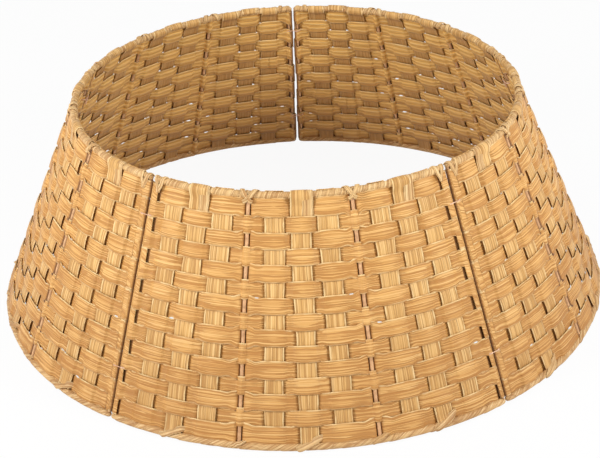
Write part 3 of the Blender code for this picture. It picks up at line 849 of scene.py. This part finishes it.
# The rims. The top rim is lashed with a narrow strand in close, slanted wraps, which cross at
# the ribs' heads and fold over the corners. The bottom rim is bound with the stakes' own ends,
# which run slantwise round the wire and pass over the feet of the uprights.
LASHING = {"wire_radius": TOP_WIRE_RADIUS, "z": TOP_WIRE_Z, "radius": 0.0032, "ridge": 0.0008,
           "lead": 0.0070, "spacing": 0.0009}
BINDING = {"wire_radius": BOTTOM_WIRE_RADIUS, "z": BOTTOM_WIRE_Z, "radius": 0.0034, "ridge": 0.0006,
           "lead": member_pitch(0), "spacing": 0.0015}
ROUND_STEPS = 18
WRAP_START = math.radians(-130)
WRAP_RIDGES = (0.3, 1.5)
WRAP_WAVER, WRAP_WAVER_LENGTH = 0.4, 0.06
WRAP_RISE, WRAP_SLOPE, WRAP_FALL = (0.0, 0.12), 0.6, (0.90, 1.0)
WRAP_LUMPS = 0.00012
WRAP_GROOVE, WRAP_CREASE, WRAP_FIBRE_SHIFT = (0.0, 0.14), 0.3, 0.171
WRAP_EDGE, WRAP_EDGE_PALER = 0.60, 0.26
PALE_EDGE_RISE, PALE_EDGE_FALL = (0.08, 0.2), (0.25, 0.5)
WRAP_WELD = 0.00002
END_TAPER = 0.0040
END_NARROWING = 0.18
END_NARROWS_OVER = 0.010
PAST_WIRE_TOP = 0.0027
PAST_WIRE_FOOT = 0.0035
PAST_WIRE_CLOSING = 0.0042
STRAP_THICKNESS = 0.0006
STRAP_COLUMNS = 6
STRAP_PLEATS = 0.00012
STRAP_STEPS = 4
STRAP_ROUND_TO, STRAP_FLATTENS_OVER, STRAP_FACE_OUT = 0.0075, 0.003, 0.004
STRAP_LENGTH, STRAP_SWELL, STRAP_SWELL_WAVE, STRAP_TIP = 0.03, 0.06, 0.02, 0.8
# A strap's spots. On the rim: distance aside, degrees round the rim wire from outside over its
# top, and radius. On the wall: distance aside, height above the rim wire, and distance out.
RIB_CROSSING = (("wall", -0.0045, -0.0075, 0.0036), ("wall", -0.0015, -0.0058, 0.0042),
                ("rim", 0.0015, -25, 0.0049), ("rim", 0.0042, 25, 0.0049), ("rim", 0.0062, 80, 0.0047),
                ("rim", 0.0076, 140, 0.0045), ("rim", 0.0086, 200, 0.0044))
CORNER_FOLD = (("rim", -0.0004, 165, 0.0034), ("rim", 0.0004, 95, 0.0036), ("rim", 0.0020, 35, 0.0036),
               ("wall", 0.0040, -0.0045, 0.0034), ("wall", 0.0056, -0.0090, 0.0032), ("wall", 0.0064, -0.0125, 0.0031))
CORNER_TAIL = (("rim", 0.0125, 175, 0.0041), ("rim", 0.0112, 100, 0.0042), ("rim", 0.0100, 40, 0.0044),
               ("wall", 0.0086, -0.0045, 0.0039), ("wall", 0.0070, -0.0080, 0.0033), ("wall", 0.0060, -0.0105, 0.0031))
STAKE_TAIL = (("rim", 0.9, 120, 0.0043), ("rim", 0.95, 60, 0.0042), ("rim", 1, 10, 0.0040),
              ("wall", 1, -0.006, 0.0030), ("wall", 1, -0.012, 0.0014), ("wall", 0.95, -0.0175, 0.0007),
              ("wall", 0.9, -0.0235, 0.0001))
FOOT_CLIMB = (("rim", -0.0135, -35, 0.0034), ("rim", -0.0085, -5, 0.0036), ("rim", -0.0030, 30, 0.0038),
              ("wall", 0.0030, 0.0050, 0.0032), ("wall", 0.0080, 0.0080, 0.0022), ("wall", 0.0120, 0.0090, 0.0002),
              ("wall", 0.0150, 0.0080, -0.0018))
CROSSING_WIDTH, FOLD_WIDTH, TAIL_WIDTH, STAKE_TAIL_WIDTH, CLIMB_WIDTH = 0.0046, 0.0042, 0.0040, 0.0110, 0.0070
MIDDLE_STAKES = (2, 6, 10)


def rim_wrap(name, past_ends, rng, wire_radius, z, radius, ridge, lead, spacing):
    """Wrapping of a rim wire, as a skin with a step at each wrap of its helix."""
    length = 2 * edge_angle(wire_radius) * wire_radius + sum(past_ends)
    obj, u, v = flat_grid(name, int(length / spacing), ROUND_STEPS)
    run = (u + 1) / 2 * length
    swing = WRAP_START + (v + 1) * math.pi
    phase = run / lead - (swing - WRAP_START) / (2 * math.pi) + waves(rng, run, WRAP_WAVER_LENGTH) * WRAP_WAVER
    wrap = np.floor(phase)
    part = phase - wrap
    kind = np.random.default_rng(rng.randrange(10000))
    heights = kind.uniform(*WRAP_RIDGES, int(wrap.max() - wrap.min()) + 3)[(wrap - wrap.min()).astype(int)]
    rise = smooth(part, *WRAP_RISE) * (1 - WRAP_SLOPE * part) * (1 - smooth(part, *WRAP_FALL)) * heights
    to_end = np.minimum(run, length - run)
    thick = radius + ridge * rise + WRAP_LUMPS * np.sin(swing * 3 + wrap)
    thick = thick * np.sqrt(np.clip(1 - (1 - np.clip(to_end / END_TAPER, 0, 1)) ** 2, 0.02, 1))
    thick = thick * (1 - END_NARROWING * (1 - smooth(to_end, 0, END_NARROWS_OVER)))
    angle = (run - past_ends[0]) / wire_radius - edge_angle(wire_radius)
    reach = wire_radius + thick * np.cos(swing)
    height = np.maximum(z + thick * np.sin(swing), 0)
    set_places(obj.data, np.stack([reach * np.sin(angle), -reach * np.cos(angle), height], -1))
    slope = math.atan2(2 * math.pi * radius, lead)
    around = (swing - WRAP_START) * radius
    # Painted shade in the groove between two wraps, with a paler raised edge along each wrap.
    groove = (1 - smooth(part, *WRAP_GROOVE)) + smooth(part, *WRAP_FALL)
    pale_edge = smooth(part, *PALE_EDGE_RISE) * (1 - smooth(part, *PALE_EDGE_FALL))
    lay_fibres(obj.data, run * math.cos(slope) + around * math.sin(slope) + wrap * WRAP_FIBRE_SHIFT,
               around * math.cos(slope) - run * math.sin(slope),
               edge=WRAP_EDGE + WRAP_EDGE_PALER * pale_edge, tuck=groove, crease=groove * WRAP_CREASE)
    only(obj)
    bpy.ops.object.mode_set(mode="EDIT")
    bpy.ops.mesh.select_all(action="SELECT")
    bpy.ops.mesh.remove_doubles(threshold=WRAP_WELD)
    bpy.ops.mesh.select_all(action="DESELECT")
    bpy.ops.mesh.select_non_manifold()
    bpy.ops.mesh.fill()
    bpy.ops.mesh.select_all(action="SELECT")
    bpy.ops.mesh.normals_make_consistent(inside=False)
    bpy.ops.object.mode_set(mode="OBJECT")
    bpy.ops.object.shade_smooth()
    return obj


def strap(member, rim_height, spots, sideways, width, rng, upward=1.0):
    """Short band through spots round a rim wire, beside an upright. It lies flat against the rim."""
    places = []
    for kind, aside, *spot in spots:
        if kind == "rim":
            swing = math.radians(spot[0])
            rise, reach = spot[1] * math.sin(swing), spot[1] * math.cos(swing)
        else:
            rise, reach = spot[0] * upward, spot[1]
        places.append((aside * sideways, rim_height + rise, reach))
    aside, height, outward = np.array(places).T
    pitch = np.array([member_pitch(value) for value in height])
    point, across, along, out = wall_frame(member + aside / pitch, height)
    rise = height - rim_height
    round_rim = np.clip((STRAP_ROUND_TO - np.abs(rise)) / STRAP_FLATTENS_OVER, 0, 1)
    face_out = outward * round_rim + STRAP_FACE_OUT * (1 - round_rim)
    faces = out * face_out[:, None] + along * (rise * round_rim)[:, None]
    knots = np.concatenate([point + out * outward[:, None], faces], 1)
    knots = np.concatenate([knots[:1] * 2 - knots[1:2], knots, knots[-1:] * 2 - knots[-2:-1]])
    rows = []
    for a, b, c, d in zip(knots, knots[1:], knots[2:], knots[3:]):
        for step in range(STRAP_STEPS):
            t = step / STRAP_STEPS
            bend, twist = 2 * a - 5 * b + 4 * c - d, 3 * b - a - 3 * c + d
            rows.append((2 * b + (c - a) * t + bend * t ** 2 + twist * t ** 3) / 2)
    rows = np.array(rows + [knots[-2]])
    centre, face = rows[:, :3], rows[:, 3:]
    tangent = np.gradient(centre, axis=0)
    tangent /= np.linalg.norm(tangent, axis=1, keepdims=True)
    face = face - tangent * (face * tangent).sum(1, keepdims=True)
    face /= np.linalg.norm(face, axis=1, keepdims=True)
    swell = waves(rng, np.linspace(0, STRAP_LENGTH, len(centre)), STRAP_SWELL_WAVE)
    half = width / 2 * (1 + STRAP_SWELL * swell)
    half[[0, -1]] *= STRAP_TIP
    stations = even_stations(centre, np.cross(face, tangent), face, half, crown=0.0004, tuck_back=0.4, crease=0.3,
                             edge=STRAND_EDGE)
    return band(stations, STRAP_COLUMNS, STRAP_THICKNESS, STRAP_PLEATS, rng)


def top_straps(rng):
    """Crossing wraps at the ribs' heads, folds over the two corners, and the stakes' tails."""
    straps = []
    for member in RIB_MEMBERS:
        for way in (-1, 1):
            lean = rng.uniform(0.85, 1.15) * way
            straps.append(strap(member, WALL_LENGTH, RIB_CROSSING, lean, CROSSING_WIDTH, rng))
    for member, way in ((0, 1), (MEMBER_LAST, -1)):
        straps.append(strap(member, WALL_LENGTH, CORNER_FOLD, way, FOLD_WIDTH, rng))
        straps.append(strap(member, WALL_LENGTH, CORNER_TAIL, way, TAIL_WIDTH, rng))
    for member in MIDDLE_STAKES:
        aside = rng.choice((-1, 1)) * rng.uniform(0.0065, 0.0090)
        straps.append(strap(member, WALL_LENGTH, STAKE_TAIL, aside, STAKE_TAIL_WIDTH, rng))
    return straps


def foot_straps(rng):
    """The binding where it climbs over the foot of an upright and dives behind the wall."""
    straps = []
    for member in (*MIDDLE_STAKES, *RIB_MEMBERS):
        size = rng.uniform(0.85, 1.05) * (0.65 if member in RIB_MEMBERS else 1.0)
        straps.append(strap(member, 0, FOOT_CLIMB, size, CLIMB_WIDTH * size, rng, size))
    return straps


def stand_on_floor(mesh):
    """Flatten what would reach below the floor."""
    places = places_of(mesh)
    places[:, 2] = np.maximum(places[:, 2], 0)
    set_places(mesh, places)


lashing_material = straw_material("straw_lashing", pale=(0.88, 0.64, 0.34, 1), mid=(0.75, 0.48, 0.20, 1),
                                  dark=(0.46, 0.23, 0.08, 1))
RIMS = (("top_rim_lashing", top_straps, PAST_WIRE_TOP, LASHING),
        ("bottom_rim_binding", foot_straps, PAST_WIRE_FOOT, BINDING))
for panel, turn in PANEL_TURNS.items():
    rng = random.Random(panel + " rims")
    closing = PANEL_WEAVE[panel]["closing"]
    for name, straps, past_wire, sizes in RIMS:
        past_ends = [PAST_WIRE_CLOSING if closing == member else past_wire for member in (0, MEMBER_LAST)]
        wrap = rim_wrap(f"{panel}_{name}", past_ends, rng, **sizes)
        piece = join([wrap, *straps(rng)], f"{panel}_{name}")
        stand_on_floor(piece.data)
        set_in_ring(piece, turn, lashing_material)
        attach(piece, panel + "_panel")

# The ties. At each hinged seam two loops of thin copper-coloured wire go twice round both side
# wires and end in a short twist inside. At the rear seam they are hooks that reach across the gap.
TIE_RADIUS = 0.0005
TIE_BEND = 0.0041
TIE_SIDES = 3
TIE_BELOW_ROWS = {"upper": 2, "lower": 12}
TIE_TURNS = 2
TIE_UNEVENNESS = 0.00004
BEND_STEPS = 10
TIE_RISE = 0.0011
TWIST_LENGTH = 0.0075
TWIST_TURNS = 2
TWIST_STEPS = 24
TWIST_SPREAD, TWIST_LOOSER = 1.1, 0.8
TWIST_INSIDE = 0.0002
TWIST_FALL, TWIST_ASIDE, TWIST_INWARD = 0.8, 0.5, 0.15
HOOK_REACH = 0.0135
HOOK_STEPS = 14
HOOK_ARCH = 0.0011
HOOK_TIP, HOOK_TIP_OUT = (0.85, 1.0), 0.0009
CROSSED_OUT = 0.0011
CROSSED_FALL = (0.0028, 0.0052)
CROSSED_SPOTS = (0.1, 0.35, 0.6, 0.85, 1.1)


def wire_along(points):
    """Round wire through points, as a bevelled curve made into a mesh."""
    curve = bpy.data.curves.new("wire", "CURVE")
    curve.dimensions = "3D"
    curve.bevel_depth = TIE_RADIUS
    curve.bevel_resolution = TIE_SIDES
    curve.use_fill_caps = True
    spline = curve.splines.new("POLY")
    spline.points.add(len(points) - 1)
    for spot, point in zip(spline.points, points):
        spot.co = (*point, 1)
    obj = bpy.data.objects.new("wire", curve)
    bpy.context.scene.collection.objects.link(obj)
    only(obj)
    bpy.ops.object.convert(target="MESH")
    return bpy.context.object


def seam_axes(below_row):
    """Point and directions on the front panel's right side wire, between two rows."""
    return [rows[0] for rows in wall_frame([MEMBER_LAST], [line_height(below_row)])]


def twist_points(start, down, side, way):
    """One of two wires twisted together, hanging from the start."""
    points = []
    for step in range(TWIST_STEPS + 1):
        part = step / TWIST_STEPS
        swing = part * TWIST_TURNS * 2 * math.pi + (0 if way > 0 else math.pi)
        spread = TIE_RADIUS * (TWIST_SPREAD + TWIST_LOOSER * (1 - part))
        points.append(start + down * TWIST_LENGTH * part + side[0] * spread * math.cos(swing)
                      + side[1] * spread * math.sin(swing))
    return points


def seam_tie(below_row, tail_side, rng):
    """Drawn at the front panel's right seam, round its side wire and its neighbour's."""
    point, across, along, out = seam_axes(below_row)
    span = 2 * EDGE_INSET
    points = []
    steps = TIE_TURNS * 2 * BEND_STEPS
    for centre, start in ((0.0, math.pi / 2), (span, -math.pi / 2)) * TIE_TURNS:
        for step in range(BEND_STEPS + 1):
            swing = start + math.pi * step / BEND_STEPS
            rise = TIE_RISE * len(points) / steps - TIE_RISE / 2
            points.append(point + across * (centre + TIE_BEND * math.cos(swing)) + out * TIE_BEND * math.sin(swing)
                          + along * (rise + rng.uniform(-1, 1) * TIE_UNEVENNESS))
    inside = point + across * span / 2 - out * (TIE_BEND + TWIST_INSIDE)
    down = -along * TWIST_FALL + across * TWIST_ASIDE * tail_side - out * TWIST_INWARD
    twists = [wire_along(twist_points(inside, down, (across, out), way)) for way in (-1, 1)]
    return [wire_along(points), *twists]


def closure_hook(below_row):
    """Ring round the rear right panel's side wire, with a hook that lies across the gap inside."""
    point, across, along, out = seam_axes(below_row)
    points = []
    for step in range(2 * BEND_STEPS + 1):
        swing = math.pi * (-0.5 + step / BEND_STEPS)
        points.append(point + across * TIE_BEND * math.cos(swing) + out * TIE_BEND * math.sin(swing)
                      + along * TIE_RISE * step / (2 * BEND_STEPS))
    for step in range(1, HOOK_STEPS + 1):
        part = step / HOOK_STEPS
        arch = math.sin(math.pi * part)
        points.append(point + across * HOOK_REACH * part - out * (TIE_BEND - HOOK_TIP_OUT * smooth(part, *HOOK_TIP))
                      + along * (TIE_RISE + HOOK_ARCH * arch))
    wires = [wire_along(points)]
    if below_row == TIE_BELOW_ROWS["lower"]:
        high, fall = CROSSED_FALL
        wires.append(wire_along([point + across * HOOK_REACH * part - out * (TIE_BEND + CROSSED_OUT)
                                 + along * (high - fall * part) for part in CROSSED_SPOTS]))
    return wires


tie_material = wire_finish("tie_wire_copper", 0.3, (0.55, 0.30, 0.17, 1), (0.86, 0.58, 0.40, 1))


def finished_tie(wires, name, panel):
    """One piece of a tie's wires, turned to the seam at the right of a panel."""
    piece = join(wires, name)
    piece.data.name = name
    return set_in_ring(piece, PANEL_TURNS[panel], tie_material)


for height, below_row in TIE_BELOW_ROWS.items():
    for moving, leftmost, body in (("left", "left", "front"), ("right", "front", "front"),
                                   ("rear_left", "rear_left", "left"), ("rear_right", "right", "right")):
        tail_side = 1 if leftmost == moving else -1
        tie = seam_tie(below_row, tail_side, random.Random(f"{moving} tie {height}"))
        piece = finished_tie(tie, f"{moving}_tie_{height}", leftmost)
        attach(piece, body + "_panel")
        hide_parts(f"{moving}_seam_tie_{height}")
    piece = finished_tie(closure_hook(below_row), f"closure_hook_{height}", "rear_right")
    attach(piece, "rear_right_panel")
    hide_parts(f"rear_closure_ring_{height}")

# The floor, the light and the camera of the picture. Seen by the camera and in reflections the
# floor and the backdrop are white, and the floor keeps a pale shadow.
FLOOR_WHITE_SHARE = 0.93
FLOOR_GREY = (0.80, 0.80, 0.80, 1)
FLOOR_SIZE = 12
WHITE = (1, 1, 1, 1)
WORLD_STRENGTH = 0.62
LAMPS = {"key_light": ((-1.35, -0.75, 0.95), 0.5, 15), "fill_light": ((1.35, -0.75, 0.95), 0.5, 13.5),
         "front_light": ((-0.5, -2.6, 1.3), 0.9, 8.5)}
LAMPS_AIM = Vector((0, 0, 0.1))
CAMERA_TARGET = Vector((-0.0014, 0, 0.0565))
CAMERA_DISTANCE = 1.766
CAMERA_RISE = math.radians(29.67)
CAMERA_ROLL = math.radians(-2.25)
CAMERA_LENS = 88.8


def seen_white(tree):
    """1 for rays that the camera sees, also in metal and through glass."""
    rays = add_node(tree, "LightPath").outputs
    seen = combine(tree, "ADD", rays["Is Camera Ray"], rays["Is Glossy Ray"], clamp=True)
    return combine(tree, "ADD", seen, rays["Is Transmission Ray"], clamp=True)


def mix_surface(tree, factor, first, second, output):
    mix = add_node(tree, "MixShader", {"Fac": factor, 1: first, 2: second})
    tree.links.new(mix.outputs["Shader"], tree.nodes[output].inputs["Surface"])


floor_material, tree, shader = new_material("pale_floor", 0.9)
shader.inputs["Base Color"].default_value = FLOOR_GREY
white = add_node(tree, "Emission", {"Color": WHITE, "Strength": 1.0})
share = combine(tree, "MULTIPLY", seen_white(tree), FLOOR_WHITE_SHARE)
mix_surface(tree, share, shader.outputs["BSDF"], white.outputs["Emission"], "Material Output")
bpy.ops.object.select_all(action="DESELECT")
bpy.ops.mesh.primitive_plane_add(size=FLOOR_SIZE, location=(0, 0, 0))
floor = bpy.context.object
floor.name = "floor"
floor.data.materials.append(floor_material)

world = bpy.data.worlds.new("studio")
bpy.context.scene.world = world
world.use_nodes = True
background = world.node_tree.nodes["Background"]
background.inputs["Color"].default_value = WHITE
background.inputs["Strength"].default_value = WORLD_STRENGTH
backdrop = add_node(world.node_tree, "Background", {"Color": WHITE, "Strength": 1.0})
mix_surface(world.node_tree, seen_white(world.node_tree), background.outputs["Background"],
            backdrop.outputs["Background"], "World Output")

for name, (spot, size, power) in LAMPS.items():
    lamp = bpy.data.lights.new(name, "AREA")
    lamp.shape = "DISK"
    lamp.size = size
    lamp.energy = power
    holder = bpy.data.objects.new(name, lamp)
    bpy.context.scene.collection.objects.link(holder)
    holder.location = spot
    holder.rotation_euler = (LAMPS_AIM - Vector(spot)).to_track_quat("-Z", "Y").to_euler()

place = CAMERA_TARGET + CAMERA_DISTANCE * Vector((0, -math.cos(CAMERA_RISE), math.sin(CAMERA_RISE)))
forward = (CAMERA_TARGET - place).normalized()
right = forward.cross(Vector((0, 0, 1))).normalized()
up = right.cross(forward)
right, up = (right * math.cos(CAMERA_ROLL) + up * math.sin(CAMERA_ROLL),
             up * math.cos(CAMERA_ROLL) - right * math.sin(CAMERA_ROLL))
camera_data = bpy.data.cameras.new("camera")
camera_data.lens = CAMERA_LENS
camera = bpy.data.objects.new("camera", camera_data)
bpy.context.scene.collection.objects.link(camera)
camera.matrix_world = Matrix.Translation(place) @ Matrix((right, up, -forward)).transposed().to_4x4()
bpy.context.scene.camera = camera
bpy.context.scene.view_settings.view_transform = "Standard"
